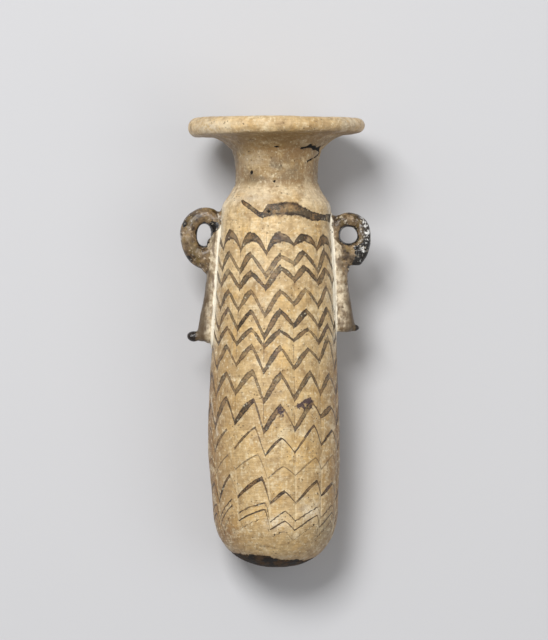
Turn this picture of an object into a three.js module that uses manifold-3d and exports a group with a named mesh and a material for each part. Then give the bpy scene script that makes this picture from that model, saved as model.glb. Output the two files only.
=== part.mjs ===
// Core-formed glass alabastron: a small oil flask with a round bottom, a short neck under a broad rim disk,
// and two ring handles with tails down its sides. It lies on its back, at rest on its rim and its belly.
// Millimetres. The flask is drawn upright along Y, from its bottom pole at the origin to its rim, with its
// front toward +Z, and is then tilted and set down, so that Y still runs toward the rim and Z is up.
import * as THREE from 'three'
import { mergeVertices } from 'three/addons/utils/BufferGeometryUtils.js'
import Module from 'manifold-3d'

// Body: lengths up the flask from its bottom pole, and radii
const bodyLength = 102.8
const bottomDepth = 18.1
const bottomRadius = 18.1
const bottomFullness = 2.3
const bellyStand = 36.5
const bellyRadius = 18.95
const waistStand = 62
const waistRadius = 18.1
const chestStand = 86
const chestRadius = 17.05
const shoulderRadius = 15.85
const bodyWall = 3
const bottomWall = 4

// Neck and rim
const shoulderDrop = 10.4
const neckLength = 11.2
const neckRadius = 11.9
const neckWall = 3
const flareRadius = 20
const rimRadius = 25.4
const rimThickness = 4.8
const rimDish = 0.7
const mouthRadius = 10.5
const mouthDepth = 10

// Curves of the outline: how soon the shoulder turns into the neck, and how the neck swells into the flare,
// as shares of the shoulder's drop, the neck's length and its radius
const shoulderEase = 0.6
const flareEase = 1 / 6
const flareSwell = 1.1

// The worker's unevenness: the belly leans left, the neck right, and the rim is thicker on the left
const bellyLean = -0.45
const neckLean = 0.3
const rimUneven = 0.6

// Both handles: how far below the shoulder's edge the rings' centres are, how wide the trails are on the
// body, how thick the glass is between a ring's hole and the body, and where the tails are thinnest
const ringDrop = 7.2
const trailWidth = 6.4
const webProud = 2.1
const waistDrop = 12.5
const weldGap = 0.3

// Left handle: ring out from the flask's axis and up its middle line, then tail and knob
const leftReach = 27.6
const leftTall = 11.1
const leftThickness = 4.9
const leftFoot = 6.6
const leftWaistProud = 2.7
const leftTailProud = 4.4
const leftTailDrop = 30.6
const leftKnobRadius = 1.5
const leftKnobReach = 2.8

// Right handle, and the flat break across the foot of its ring
const rightReach = 27.5
const rightTall = 8.9
const rightThickness = 4.1
const rightFoot = 7.9
const rightWaistProud = 3.8
const rightTailProud = 5.3
const rightTailDrop = 27.8
const rightKnobRadius = 1
const rightKnobReach = 1.4
const breakDrop = 8.7
const breakReach = 21.2

// Trails: how far a tail's top passes its ring, how deep it starts under the body's surface, the share of
// its length that is rounded at each end, and the knobs' length over their width
const tailRise = 1.2
const trailSink = 1.6
const endShare = 0.06
const knobStretch = 1.4

// How deep the floor cuts flat spots on the rim and belly
const flatDepth = 0.35

// Facets
const aroundBody = 48
const bottomSteps = 8
const sideSteps = 3
const curveSteps = 6
const flareSteps = 8
const mouthSteps = 4
const edgeSteps = 6
const alongRing = 28
const alongTail = 16
const aroundTrail = 12
const aroundKnob = 10
const upKnob = 8
const mergeWithin = 1e-4

const wasm = await Module()
wasm.setup()

// A closed geometry as a solid, with its shared vertices merged and its collapsed triangles dropped
function toSolid(geometry) {
  const bare = geometry.clone()
  bare.deleteAttribute('normal')
  bare.deleteAttribute('uv')
  const merged = mergeVertices(bare, mergeWithin)
  const corners = merged.index.array
  const kept = []
  for (let i = 0; i < corners.length; i += 3) {
    const [a, b, c] = corners.slice(i, i + 3)
    if (a !== b && b !== c && c !== a) kept.push(a, b, c)
  }
  return new wasm.Manifold(new wasm.Mesh({
    numProp: 3,
    vertProperties: new Float32Array(merged.attributes.position.array),
    triVerts: new Uint32Array(kept),
  }))
}

function toGeometry(solid) {
  const mesh = solid.getMesh()
  const geometry = new THREE.BufferGeometry()
  geometry.setAttribute('position', new THREE.BufferAttribute(new Float32Array(mesh.vertProperties), 3))
  geometry.setIndex(new THREE.BufferAttribute(new Uint32Array(mesh.triVerts), 1))
  geometry.computeVertexNormals()
  return geometry
}

const neckStand = bodyLength + shoulderDrop
const rimUnderside = neckStand + neckLength
const rimTop = rimUnderside + rimThickness
const point = (radius, height) => new THREE.Vector2(radius, height)

// Rounded bottom from the pole up: a quarter of a superellipse that ends `lift` above the pole
function bottomPoints(radius, depth, lift) {
  const power = 2 / bottomFullness
  return Array.from({ length: bottomSteps }, (_, step) => {
    const angle = (step / bottomSteps) * (Math.PI / 2)
    return point(radius * Math.sin(angle) ** power, lift + depth * (1 - Math.cos(angle) ** power))
  })
}

// Side of the body from the rounded bottom to the shoulder, `inset` inside the outer surface
function sidePoints(inset) {
  const side = new THREE.SplineCurve([
    point(bottomRadius - inset, bottomDepth),
    point(bellyRadius - inset, bellyStand),
    point(waistRadius - inset, waistStand),
    point(chestRadius - inset, chestStand),
    point(shoulderRadius - inset, bodyLength - inset),
  ])
  return side.getPoints(4 * sideSteps)
}

// Outer surface from the bottom pole to the outer edge of the rim's underside
function outerPoints() {
  const shoulder = new THREE.CubicBezierCurve(
    point(shoulderRadius, bodyLength),
    point(shoulderRadius, bodyLength + shoulderDrop / 3),
    point(neckRadius, neckStand - shoulderDrop * shoulderEase),
    point(neckRadius, neckStand),
  )
  const flare = new THREE.CubicBezierCurve(
    point(neckRadius, neckStand),
    point(neckRadius, neckStand + neckLength / 2),
    point(neckRadius * flareSwell, rimUnderside - neckLength * flareEase),
    point(flareRadius, rimUnderside),
  )
  return [
    ...bottomPoints(bottomRadius, bottomDepth, 0),
    ...sidePoints(0),
    ...shoulder.getPoints(curveSteps).slice(1),
    ...flare.getPoints(flareSteps).slice(1),
  ]
}

// Rim edge, rim top, mouth, bore and inner surface, down to the inner pole
function innerPoints() {
  const edge = new THREE.EllipseCurve(
    rimRadius - rimThickness / 2,
    rimUnderside + rimThickness / 2,
    rimThickness / 2,
    rimThickness / 2,
    -Math.PI / 2,
    Math.PI / 2,
  )
  const boreRadius = neckRadius - neckWall
  const mouth = new THREE.CubicBezierCurve(
    point(mouthRadius, rimTop - rimDish),
    point((mouthRadius + boreRadius) / 2, rimTop - rimDish),
    point(boreRadius, rimTop - rimDish - mouthDepth / 2),
    point(boreRadius, rimTop - mouthDepth),
  )
  const shoulder = new THREE.CubicBezierCurve(
    point(boreRadius, neckStand),
    point(boreRadius, bodyLength),
    point(shoulderRadius - bodyWall, bodyLength + bodyWall),
    point(shoulderRadius - bodyWall, bodyLength - bodyWall),
  )
  return [
    ...edge.getPoints(edgeSteps),
    ...mouth.getPoints(mouthSteps),
    ...shoulder.getPoints(curveSteps).slice(0, -1),
    ...sidePoints(bodyWall).reverse(),
    ...bottomPoints(bottomRadius - bodyWall, bottomDepth - bottomWall, bottomWall).reverse(),
  ]
}

// Moves a geometry's vertices from the true round form to the worker's uneven one
function lean(geometry) {
  const { smoothstep, clamp } = THREE.MathUtils
  const position = geometry.attributes.position
  for (let i = 0; i < position.count; i++) {
    const x = position.getX(i)
    const y = position.getY(i)
    const radius = Math.hypot(x, position.getZ(i))
    const onBelly = smoothstep(y, bottomDepth, bellyStand) * (1 - smoothstep(y, waistStand, chestStand))
    const onNeck = smoothstep(y, chestStand, neckStand)
    const onRim = smoothstep(radius, neckRadius, rimRadius)
    const underside = clamp((rimTop - y) / rimThickness, 0, 1) * smoothstep(y, neckStand, rimUnderside)
    position.setX(i, x + bellyLean * onBelly + neckLean * onNeck)
    position.setY(i, y + (x / rimRadius) * rimUneven * onRim * underside)
  }
  return geometry
}

const lathe = (points) => lean(new THREE.LatheGeometry(points, aroundBody))

// Radius of the body's outer surface at a height
const outer = outerPoints()
function radiusAt(height) {
  const upper = outer.findIndex((spot) => spot.y > height)
  const [low, high] = [outer[upper - 1], outer[upper]]
  return THREE.MathUtils.mapLinear(height, low.y, high.y, low.x, high.x)
}

// A handle's geometry, made for the right side, turned about the flask's axis to its own side
const onSide = (geometry, side) => toSolid(lean(geometry.rotateY(side > 0 ? 0 : Math.PI)))

const ringHeight = bodyLength - ringDrop

// Ring of a handle: a torus stretched over an oval hole, wider where it meets the body, and with its outer
// half drawn down at its foot. A vertex keeps its angle round the ring and its place in the section.
function ring(side, { reach, tall, thickness, foot }) {
  const { lerp, smoothstep } = THREE.MathUtils
  const middle = (radiusAt(ringHeight) + webProud + reach - thickness) / 2
  const across = reach - thickness / 2 - middle
  const plainRing = 2
  const geometry = new THREE.TorusGeometry(plainRing, 1, aroundTrail, alongRing)
  const position = geometry.attributes.position
  for (let i = 0; i < position.count; i++) {
    const angle = Math.atan2(position.getY(i), position.getX(i))
    const out = Math.hypot(position.getX(i), position.getY(i)) - plainRing
    const atFoot = out > 0 && angle < 0
    const down = out * (atFoot ? foot - thickness / 2 : thickness / 2)
    const wide = lerp(trailWidth, thickness, smoothstep(Math.cos(angle), -1, 0.5)) / 2
    position.setXYZ(
      i,
      middle + (across + (out * thickness) / 2) * Math.cos(angle),
      ringHeight + (tall / 2 + down) * Math.sin(angle),
      position.getZ(i) * wide,
    )
  }
  return onSide(geometry, side)
}

// Pad and tail of a handle: a capped cylinder flattened and laid down the body's side, from above the ring
// to the tail's end, and proud of the surface by more toward that end
function tail(side, { tall, waistProud, tailProud, tailDrop }) {
  const { lerp, smoothstep, clamp } = THREE.MathUtils
  const top = ringHeight + tall / 2 + tailRise
  const end = ringHeight - tailDrop
  const waist = ringHeight - waistDrop
  const geometry = new THREE.CylinderGeometry(1, 1, 1, aroundTrail, alongTail)
  const position = geometry.attributes.position
  for (let i = 0; i < position.count; i++) {
    const t = clamp(position.getY(i) + 0.5, 0, 1)
    const height = lerp(end, top, t)
    const above = lerp(waistProud, webProud, smoothstep(height, waist, ringHeight))
    const proud = lerp(tailProud, above, smoothstep(height, end, waist))
    const fromEnd = Math.min(1, Math.min(t, 1 - t) / endShare)
    const round = Math.sqrt(1 - (1 - fromEnd) ** 2 / 2)
    const thick = ((proud + trailSink) / 2) * round
    position.setXYZ(
      i,
      radiusAt(height) + (proud - trailSink) / 2 + position.getX(i) * thick,
      height,
      position.getZ(i) * (trailWidth / 2) * round,
    )
  }
  return onSide(geometry, side)
}

// Knob where the trail was nipped off, sticking out of the tail beside its end
function knob(side, { tailProud, tailDrop, knobRadius, knobReach }) {
  const ball = new THREE.SphereGeometry(knobRadius, aroundKnob, upKnob)
  const height = ringHeight - tailDrop + knobRadius
  const out = radiusAt(height) + tailProud + knobReach
  ball.scale(knobStretch, 1, 1)
  ball.translate(out - knobStretch * knobRadius, height, 0)
  return onSide(ball, side)
}

const vesselRound = toSolid(lathe([...outer, ...innerPoints()]))
const clearOfBody = toSolid(lathe([
  ...outer.map((spot) => point(spot.x > 0 ? spot.x + weldGap : 0, spot.y)),
  point(0, rimUnderside),
]))

const left = {
  reach: leftReach,
  tall: leftTall,
  thickness: leftThickness,
  foot: leftFoot,
  waistProud: leftWaistProud,
  tailProud: leftTailProud,
  tailDrop: leftTailDrop,
  knobRadius: leftKnobRadius,
  knobReach: leftKnobReach,
}
const right = {
  reach: rightReach,
  tall: rightTall,
  thickness: rightThickness,
  foot: rightFoot,
  waistProud: rightWaistProud,
  tailProud: rightTailProud,
  tailDrop: rightTailDrop,
  knobRadius: rightKnobRadius,
  knobReach: rightKnobReach,
}

// What broke off the right ring: all of it that was below the break and outside the tail
const lost = new THREE.BoxGeometry(rightReach, rightReach, 2 * trailWidth)
lost.translate(breakReach + rightReach / 2, ringHeight - breakDrop - rightReach / 2, 0)

const leftHandle = ring(-1, left)
  .add(tail(-1, left))
  .add(knob(-1, left))
  .subtract(clearOfBody)
const rightHandle = ring(1, right)
  .subtract(toSolid(lost))
  .add(tail(1, right))
  .add(knob(1, right))
  .subtract(clearOfBody)

// The flask lies with the backs of its rim and belly on the floor: the tilt that brings both down together
const spots = toGeometry(vesselRound).attributes.position
const places = Array.from({ length: spots.count }, (_, i) => point(spots.getY(i), spots.getZ(i)))
const rimBack = places.reduce((lowest, place) => (place.y < lowest.y ? place : lowest))
const tilt = Math.min(...places
  .filter((place) => place.x < bodyLength)
  .map((place) => Math.atan2(place.y - rimBack.y, rimBack.x - place.x)))
const lowest = Math.min(...places.map((place) => place.x * Math.sin(tilt) + place.y * Math.cos(tilt)))

const flask = new THREE.Group()
flask.rotation.x = tilt
flask.position.z = -lowest - flatDepth
flask.updateMatrixWorld(true)

// Everything below the floor, in the flask's own frame
const below = new THREE.BoxGeometry(4 * rimRadius, 3 * rimTop, rimRadius)
below.translate(0, 0, -rimRadius / 2)
below.applyMatrix4(flask.matrixWorld.clone().invert())
const vessel = vesselRound.subtract(toSolid(below))

const creamGlass = new THREE.MeshStandardMaterial({ color: 0xd9be90, roughness: 0.4, metalness: 0 })
const brownGlass = new THREE.MeshStandardMaterial({ color: 0x7d6a52, roughness: 0.3, metalness: 0 })

function piece(name, solid, material) {
  const mesh = new THREE.Mesh(toGeometry(solid), material)
  mesh.name = name
  flask.add(mesh)
}

piece('vessel', vessel, creamGlass)
piece('left_handle', leftHandle, brownGlass)
piece('right_handle', rightHandle, brownGlass)

// The origin is below the middle of the whole, on the floor
const alabastron = new THREE.Group()
alabastron.add(flask)
const middle = new THREE.Box3().setFromObject(alabastron, true).getCenter(new THREE.Vector3())
flask.position.x -= middle.x
flask.position.y -= middle.y

export default alabastron
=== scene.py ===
"""Core-formed glass alabastron, lying on its back: a cream flask with dark threads combed into zigzags,
and two brown ring handles. Shapes are worked out upright and in millimetres, then laid down."""

import math

import bpy
import numpy as np
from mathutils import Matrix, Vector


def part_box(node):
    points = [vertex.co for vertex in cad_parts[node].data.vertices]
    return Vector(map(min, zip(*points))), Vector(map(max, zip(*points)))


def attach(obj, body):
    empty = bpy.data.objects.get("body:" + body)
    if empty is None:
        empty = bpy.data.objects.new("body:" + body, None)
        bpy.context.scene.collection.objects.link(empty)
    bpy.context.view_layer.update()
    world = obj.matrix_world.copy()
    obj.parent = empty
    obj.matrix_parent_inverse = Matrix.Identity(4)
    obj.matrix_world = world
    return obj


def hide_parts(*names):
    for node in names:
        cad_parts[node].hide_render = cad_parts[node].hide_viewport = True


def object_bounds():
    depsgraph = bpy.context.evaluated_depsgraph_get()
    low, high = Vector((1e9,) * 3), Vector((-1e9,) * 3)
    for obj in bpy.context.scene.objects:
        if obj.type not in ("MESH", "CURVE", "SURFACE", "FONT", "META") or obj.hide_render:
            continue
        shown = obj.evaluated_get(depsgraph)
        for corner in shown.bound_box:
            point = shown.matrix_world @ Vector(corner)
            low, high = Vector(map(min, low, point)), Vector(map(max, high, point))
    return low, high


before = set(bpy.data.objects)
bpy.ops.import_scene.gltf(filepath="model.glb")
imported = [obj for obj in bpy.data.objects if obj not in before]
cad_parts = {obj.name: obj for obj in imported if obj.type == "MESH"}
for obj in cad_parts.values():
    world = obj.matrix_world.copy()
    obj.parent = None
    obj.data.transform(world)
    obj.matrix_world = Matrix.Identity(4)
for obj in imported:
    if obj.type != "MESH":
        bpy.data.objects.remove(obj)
cad_box = [list(corner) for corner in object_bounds()]


# Flask
# The body, neck and rim are one gather of opaque cream glass, wound hot over a core on a rod. The core
# was scraped out afterwards, so the flask is hollow. Its surface keeps the furrows of the tool and the
# pits of long burial.

BODY_LENGTH = 102.8
BOTTOM_DEPTH = 18.1
BOTTOM_RADIUS = 18.1
BOTTOM_FULLNESS = 2.3
BELLY_STAND, BELLY_RADIUS = 36.5, 18.95
WAIST_STAND, WAIST_RADIUS = 62.0, 18.1
CHEST_STAND, CHEST_RADIUS = 86.0, 17.05
SHOULDER_RADIUS = 15.85
BODY_WALL, BOTTOM_WALL = 3.0, 4.0
SHOULDER_DROP = 10.4
NECK_LENGTH = 11.2
NECK_RADIUS, NECK_WALL = 11.9, 3.0
FLARE_RADIUS = 20.0
RIM_RADIUS = 25.4
RIM_THICKNESS = 4.8
RIM_DISH = 0.7
MOUTH_RADIUS, MOUTH_DEPTH = 10.5, 10.0
BELLY_LEAN, NECK_LEAN = -0.45, 0.3
RIM_UNEVEN = 0.6
FLAT_DEPTH = 0.35
NECK_STAND = BODY_LENGTH + SHOULDER_DROP
RIM_UNDERSIDE = NECK_STAND + NECK_LENGTH
RIM_TOP = RIM_UNDERSIDE + RIM_THICKNESS
# Shares that set how full the curves of shoulder, flare and rim top are
SHOULDER_EASE = 0.6
FLARE_EASE, FLARE_SWELL = 1 / 6, 1.1
RIM_TOP_REACH, LIP_REACH = 0.7, 1.3
AROUND = 312
BOTTOM_STEPS, SIDE_STEPS, SHOULDER_STEPS, FLARE_STEPS = 38, 130, 22, 44
RIM_STEPS, RIM_TOP_STEPS, MOUTH_STEPS = 22, 14, 14
INNER_SHOULDER_STEPS, INNER_SIDE_STEPS, INNER_BOTTOM_STEPS = 8, 14, 10


def smooth(value, low, high):
    """Smoothstep: 0 up to low, 1 from high on, and an S-shaped cubic between them."""
    t = np.clip((value - low) / (high - low), 0, 1)
    return t * t * (3 - 2 * t)


def bezier(p0, p1, p2, p3, steps):
    """Cubic curve from p0 to p3, drawn toward p1 and p2, as steps points with the last one left out."""
    t = np.arange(steps)[:, None] / steps
    ends = (1 - t) ** 3 * np.array(p0) + t**3 * np.array(p3)
    return ends + 3 * t * (1 - t) ** 2 * np.array(p1) + 3 * t**2 * (1 - t) * np.array(p2)


def through(stations, steps):
    """Catmull-Rom curve through the stations, with both end stations doubled, its last point left out."""
    knots = np.array([stations[0], *stations, stations[-1]], float)
    place = np.arange(steps) / steps * (len(stations) - 1)
    i = place.astype(int)
    t = (place - i)[:, None]
    before, start, end, after = knots[i], knots[i + 1], knots[i + 2], knots[i + 3]
    pull_out, pull_in = (end - before) / 2, (after - start) / 2
    cubic = (2 * start - 2 * end + pull_out + pull_in) * t**3
    square = (3 * end - 3 * start - 2 * pull_out - pull_in) * t**2
    return cubic + square + pull_out * t + start


def bottom(radius, depth, lift, steps):
    """Quarter of a superellipse from the pole out to its radius: sine and cosine to 2 / fullness."""
    angle = np.arange(steps) / steps * math.pi / 2
    power = 2 / BOTTOM_FULLNESS
    return np.stack([radius * np.sin(angle) ** power, lift + depth * (1 - np.cos(angle) ** power)], 1)


def side(inset, steps):
    """Curve through stations from the rounded bottom up to the shoulder, inset from the outer surface."""
    stations = [
        (BOTTOM_RADIUS - inset, BOTTOM_DEPTH),
        (BELLY_RADIUS - inset, BELLY_STAND),
        (WAIST_RADIUS - inset, WAIST_STAND),
        (CHEST_RADIUS - inset, CHEST_STAND),
        (SHOULDER_RADIUS - inset, BODY_LENGTH - inset),
    ]
    return through(stations, steps)


def outer_outline():
    """Radius and height up the outside: bottom, side, shoulder and flare, to the rim's underside."""
    shoulder = bezier(
        (SHOULDER_RADIUS, BODY_LENGTH),
        (SHOULDER_RADIUS, BODY_LENGTH + SHOULDER_DROP / 3),
        (NECK_RADIUS, NECK_STAND - SHOULDER_DROP * SHOULDER_EASE),
        (NECK_RADIUS, NECK_STAND),
        SHOULDER_STEPS,
    )
    flare = bezier(
        (NECK_RADIUS, NECK_STAND),
        (NECK_RADIUS, NECK_STAND + NECK_LENGTH / 2),
        (NECK_RADIUS * FLARE_SWELL, RIM_UNDERSIDE - NECK_LENGTH * FLARE_EASE),
        (FLARE_RADIUS, RIM_UNDERSIDE),
        FLARE_STEPS,
    )
    pole_to_side = bottom(BOTTOM_RADIUS, BOTTOM_DEPTH, 0, BOTTOM_STEPS)[1:]
    return np.vstack([pole_to_side, side(0, SIDE_STEPS), shoulder, flare])


def inner_outline():
    """Radius and height on round the rim's edge, a half circle, over its top, down the mouth and the bore
    to the inner pole."""
    half = RIM_THICKNESS / 2
    turn = np.linspace(-math.pi / 2, math.pi / 2, RIM_STEPS)
    edge_radius = RIM_RADIUS - half + half * np.cos(turn)
    edge = np.stack([edge_radius, RIM_UNDERSIDE + half + half * np.sin(turn)], 1)
    bore = NECK_RADIUS - NECK_WALL
    lip = RIM_TOP - RIM_DISH
    top = bezier(
        edge[-1],
        (RIM_RADIUS * RIM_TOP_REACH, RIM_TOP),
        (MOUTH_RADIUS * LIP_REACH, lip),
        (MOUTH_RADIUS, lip),
        RIM_TOP_STEPS,
    )
    mouth = bezier(
        (MOUTH_RADIUS, lip),
        ((MOUTH_RADIUS + bore) / 2, lip),
        (bore, lip - MOUTH_DEPTH / 2),
        (bore, RIM_TOP - MOUTH_DEPTH),
        MOUTH_STEPS,
    )
    inner_shoulder = bezier(
        (bore, NECK_STAND),
        (bore, BODY_LENGTH),
        (SHOULDER_RADIUS - BODY_WALL, BODY_LENGTH + BODY_WALL),
        (SHOULDER_RADIUS - BODY_WALL, BODY_LENGTH - BODY_WALL),
        INNER_SHOULDER_STEPS,
    )
    inner_side = side(BODY_WALL, INNER_SIDE_STEPS)[::-1]
    inner_depth = BOTTOM_DEPTH - BOTTOM_WALL
    inner_bottom = bottom(BOTTOM_RADIUS - BODY_WALL, inner_depth, BOTTOM_WALL, INNER_BOTTOM_STEPS)[:0:-1]
    return np.vstack([edge, top[1:], mouth, inner_shoulder, inner_side, inner_bottom])


outer = outer_outline()
outline = np.vstack([outer, inner_outline()])

# The flask lies on the backs of its rim and belly, at the tilt that brings both down together
rim_back = outline[np.argmax(outline[:, 0])]
back = outer[outer[:, 1] < BODY_LENGTH]
TILT = np.min(np.arctan2(rim_back[0] - back[:, 0], rim_back[1] - back[:, 1]))
laid_y = np.concatenate([
    outline[:, 1] * math.cos(TILT) + outline[:, 0] * math.sin(TILT),
    outline[:, 1] * math.cos(TILT) - outline[:, 0] * math.sin(TILT),
])
vessel_low, vessel_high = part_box("vessel")
PLACE = np.array([
    (vessel_low[0] + vessel_high[0]) * 500 - NECK_LEAN,
    (vessel_low[1] + vessel_high[1]) * 500 - (laid_y.min() + laid_y.max()) / 2,
    np.max(outline[:, 0] * math.cos(TILT) - outline[:, 1] * math.sin(TILT)) - FLAT_DEPTH,
])


def lean(points):
    """The worker's unevenness: the belly leans left, the neck right, and the rim's underside rises to the
    right, each by an S curve of the height or radius."""
    x, y, z = points[..., 0], points[..., 1], points[..., 2]
    radius = np.hypot(x, z)
    on_belly = smooth(y, BOTTOM_DEPTH, BELLY_STAND) * (1 - smooth(y, WAIST_STAND, CHEST_STAND))
    on_neck = smooth(y, CHEST_STAND, NECK_STAND)
    on_rim = smooth(radius, NECK_RADIUS, RIM_RADIUS)
    underside = np.clip((RIM_TOP - y) / RIM_THICKNESS, 0, 1) * smooth(y, NECK_STAND, RIM_UNDERSIDE)
    moved_x = x + BELLY_LEAN * on_belly + NECK_LEAN * on_neck
    return np.stack([moved_x, y + x / RIM_RADIUS * RIM_UNEVEN * on_rim * underside, z], -1)


def laid_down(points):
    """From the upright flask in millimetres to the row frame in metres: a turn by TILT about X, then its
    place, with nothing below the floor and nothing outside the CAD model's box."""
    x, y, z = points[..., 0], points[..., 1], points[..., 2]
    turned = [x, y * math.cos(TILT) - z * math.sin(TILT), y * math.sin(TILT) + z * math.cos(TILT)]
    return np.clip((np.stack(turned, -1) + PLACE) * 0.001, cad_box[0], cad_box[1])


def lumps(points, size, seed):
    """Smooth noise from -1 to 1: random values on a cubic lattice that repeats every 24 cells, blended
    between the corners of each cell by an S curve."""
    repeat = 24
    all_positive = 1000
    lattice = np.random.default_rng(seed).uniform(-1, 1, (repeat, repeat, repeat))
    spot = points / size + all_positive
    cell = np.floor(spot).astype(int)
    t = spot - cell
    t = t * t * (3 - 2 * t)
    total = 0
    for corner in np.ndindex(2, 2, 2):
        weight = np.prod(np.where(corner, t, 1 - t), -1)
        i, j, k = np.moveaxis((cell + corner) % repeat, -1, 0)
        total = total + weight * lattice[i, j, k]
    return total


def pitted(points, spots, sizes, depths):
    """Sum of round dents: in each, its depth times the square of 1 less the squared share of its size."""
    total = np.zeros(points.shape[:-1])
    for spot, size, depth in zip(spots, sizes, depths):
        away = np.sum((points - spot) ** 2, -1) / size**2
        total -= depth * np.clip(1 - away, 0, 1) ** 2
    return total


def grid_mesh(grid, round_trip, start=0):
    """Closed skin over a grid of rows by columns: columns wrap round, and the rows either wrap too or end
    in fans about the middles of the first and last row. Returns its points, and its faces numbered from
    start."""
    rows, columns = grid.shape[:2]
    points = grid.reshape(-1, 3)
    i = np.arange(rows if round_trip else rows - 1)[:, None] * columns
    up = (i + columns) % (rows * columns)
    j = np.arange(columns)[None, :]
    k = (j + 1) % columns
    quads = (np.stack([i + j, i + k, up + k, up + j], -1).reshape(-1, 4) + start).tolist()
    if round_trip:
        return points, quads
    first, last = len(points), len(points) + 1
    points = np.vstack([points, grid[0].mean(0), grid[-1].mean(0)])
    ring = np.arange(columns)
    after = (ring + 1) % columns
    top = (rows - 1) * columns
    first_fan = np.stack([after, ring, ring * 0 + first], 1)
    last_fan = np.stack([ring + top, after + top, ring * 0 + last], 1)
    return points, quads + (np.vstack([first_fan, last_fan]) + start).tolist()


def new_piece(name, points, faces):
    """A smooth-shaded mesh object at the origin, with its place in its mesh."""
    mesh = bpy.data.meshes.new(name)
    mesh.from_pydata(points, [], faces)
    mesh.validate()
    mesh.shade_smooth()
    piece = bpy.data.objects.new(name, mesh)
    bpy.context.collection.objects.link(piece)
    return piece


def store(piece, name, values):
    """Keeps one number for each vertex as a named attribute, which the piece's material reads."""
    attribute = piece.data.attributes.new(name, "FLOAT", "POINT")
    attribute.data.foreach_set("value", np.ascontiguousarray(values, np.float32))


# Dark glass was trailed round the body, then combed down with a pointed tool along 13 furrows. Each row
# has the heights of its peaks in the five front columns and of the four valleys between them, the width
# of its rising strokes, the falling strokes' share of that width, and how full its colour is.
COMBED = 13
FRONT_COLUMNS = 5
VALLEY_AT = 100
FIRST_VALLEY = -180 + VALLEY_AT * 360 / AROUND
THREADS = [
    ((95.6, 94.9, 94.7, 94.6, 94.2), (91.0, 90.0, 92.5, 91.2), 2.05, 0.95, 0.95),
    ((90.0, 89.7, 89.2, 90.3, 90.5), (85.0, 83.8, 87.3, 85.1), 1.5, 0.7, 0.85),
    ((85.0, 84.4, 85.9, 85.9, 85.4), (80.4, 80.2, 82.7, 81.8), 1.6, 0.75, 0.95),
    ((79.2, 79.2, 79.2, 79.7, 80.2), (74.0, 72.3, 75.6, 75.1), 1.3, 0.7, 0.85),
    ((74.3, 73.5, 73.5, 73.5, 74.3), (68.6, 66.3, 69.4, 69.1), 1.3, 0.75, 0.95),
    ((68.8, 68.4, 67.9, 68.4, 69.4), (64.3, 63.5, 65.3, 64.8), 1.2, 0.7, 0.9),
    ((63.5, 63.5, 63.2, 62.7, 65.8), (58.3, 56.3, 57.3, 59.3), 1.2, 0.6, 0.85),
    ((55.9, 56.2, 55.4, 55.9, 55.2), (50.3, 47.7, 48.7, 50.3), 1.3, 0.6, 0.8),
    ((48.7, 48.2, 46.4, 47.4, 46.1), (41.8, 39.3, 40.0, 43.5), 1.3, 0.4, 0.95),
    ((39.9, 40.5, 37.4, 41.0, 39.5), (34.4, 32.5, 33.3, 35.4), 0.6, 0.6, 0.95),
    ((32.5, 32.8, 29.4, 31.8, 32.5), (28.5, 26.0, 26.8, 28.5), 0.35, 0.8, 0.5),
    ((26.6, 26.0, 22.2, 25.1, 24.4), (20.5, 18.8, 18.9, 20.9), 0.75, 0.5, 1.0),
    ((19.9, 19.0, 16.5, 17.4, 18.0), (15.8, 13.4, 13.7, 14.5), 0.4, 0.7, 0.8),
    ((18.2, 17.2, 13.8, 15.4, 16.0), (13.7, 11.3, 11.1, 11.8), 0.4, 0.7, 0.85),
    ((16.0, 15.0, 11.1, 13.2, 13.6), (11.4, 9.3, 8.4, 9.2), 0.35, 0.7, 0.75),
]
ARCHED_ROWS = 1
ARCH_POWER, STROKE_POWER = 2.4, 1.2
RISING_WIDER = 1.2
WORN_BELOW, WORN_LEFT = 42, 0.2
# Where each peak stands, as a share of the way between its valleys, in the highest and in the lowest rows
HIGH_PEAKS = (0.44, 0.4, 0.5, 0.34, 0.38)
LOW_PEAKS = (0.78, 0.86, 0.61, 0.82, 0.62)
LOW_ROWS, HIGH_ROWS = 20, 95
# Low down, the second valley strays to the right
STRAY_AT, STRAY_REACH, STRAY = -9, 15, 4
# The first turn of thread starts thin on the front's left, thickens, and ends behind the left handle
TURN_ANGLES = (-43, -40, -28, -18, -14, -10, 0, 12, 22, 31, 40, 62, 90, 150, 210, 260, 284, 317)
TURN_HEIGHTS = (105.5, 105.1, 103.3, 101.3, 101, 102.4, 102.9, 102.9, 102.6, 101.9, 100.9, 100.5, 100.6,
                101.2, 100.9, 100.3, 99.8, 99.6)
TURN_WIDTHS = (0, 0.9, 1.2, 1.3, 1.6, 2.9, 3.2, 3.6, 3.4, 3.1, 2.6, 1.8, 2.6, 3.1, 2.8, 2.0, 0, 0)

grid_angles = np.arange(AROUND) / AROUND * 2 * math.pi - math.pi
radius, height, base = np.broadcast_arrays(outline[:, :1], outline[:, 1:], grid_angles[None])
stray = np.exp(-(((base - math.radians(STRAY_AT)) / math.radians(STRAY_REACH)) ** 2))
angle = base + math.radians(STRAY) * stray * (1 - smooth(height, 18, WORN_BELOW))

columns = (np.degrees(base) - FIRST_VALLEY) / (360 / COMBED)
column = np.floor(columns + 1e-6).astype(int)
share = np.clip(columns - column, 0, 1)
column = column % COMBED
hand = np.random.default_rng(5)
high_peaks = np.concatenate([HIGH_PEAKS, hand.uniform(0.36, 0.5, COMBED - FRONT_COLUMNS)])
low_peaks = np.concatenate([LOW_PEAKS, hand.uniform(0.6, 0.85, COMBED - FRONT_COLUMNS)])


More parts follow.
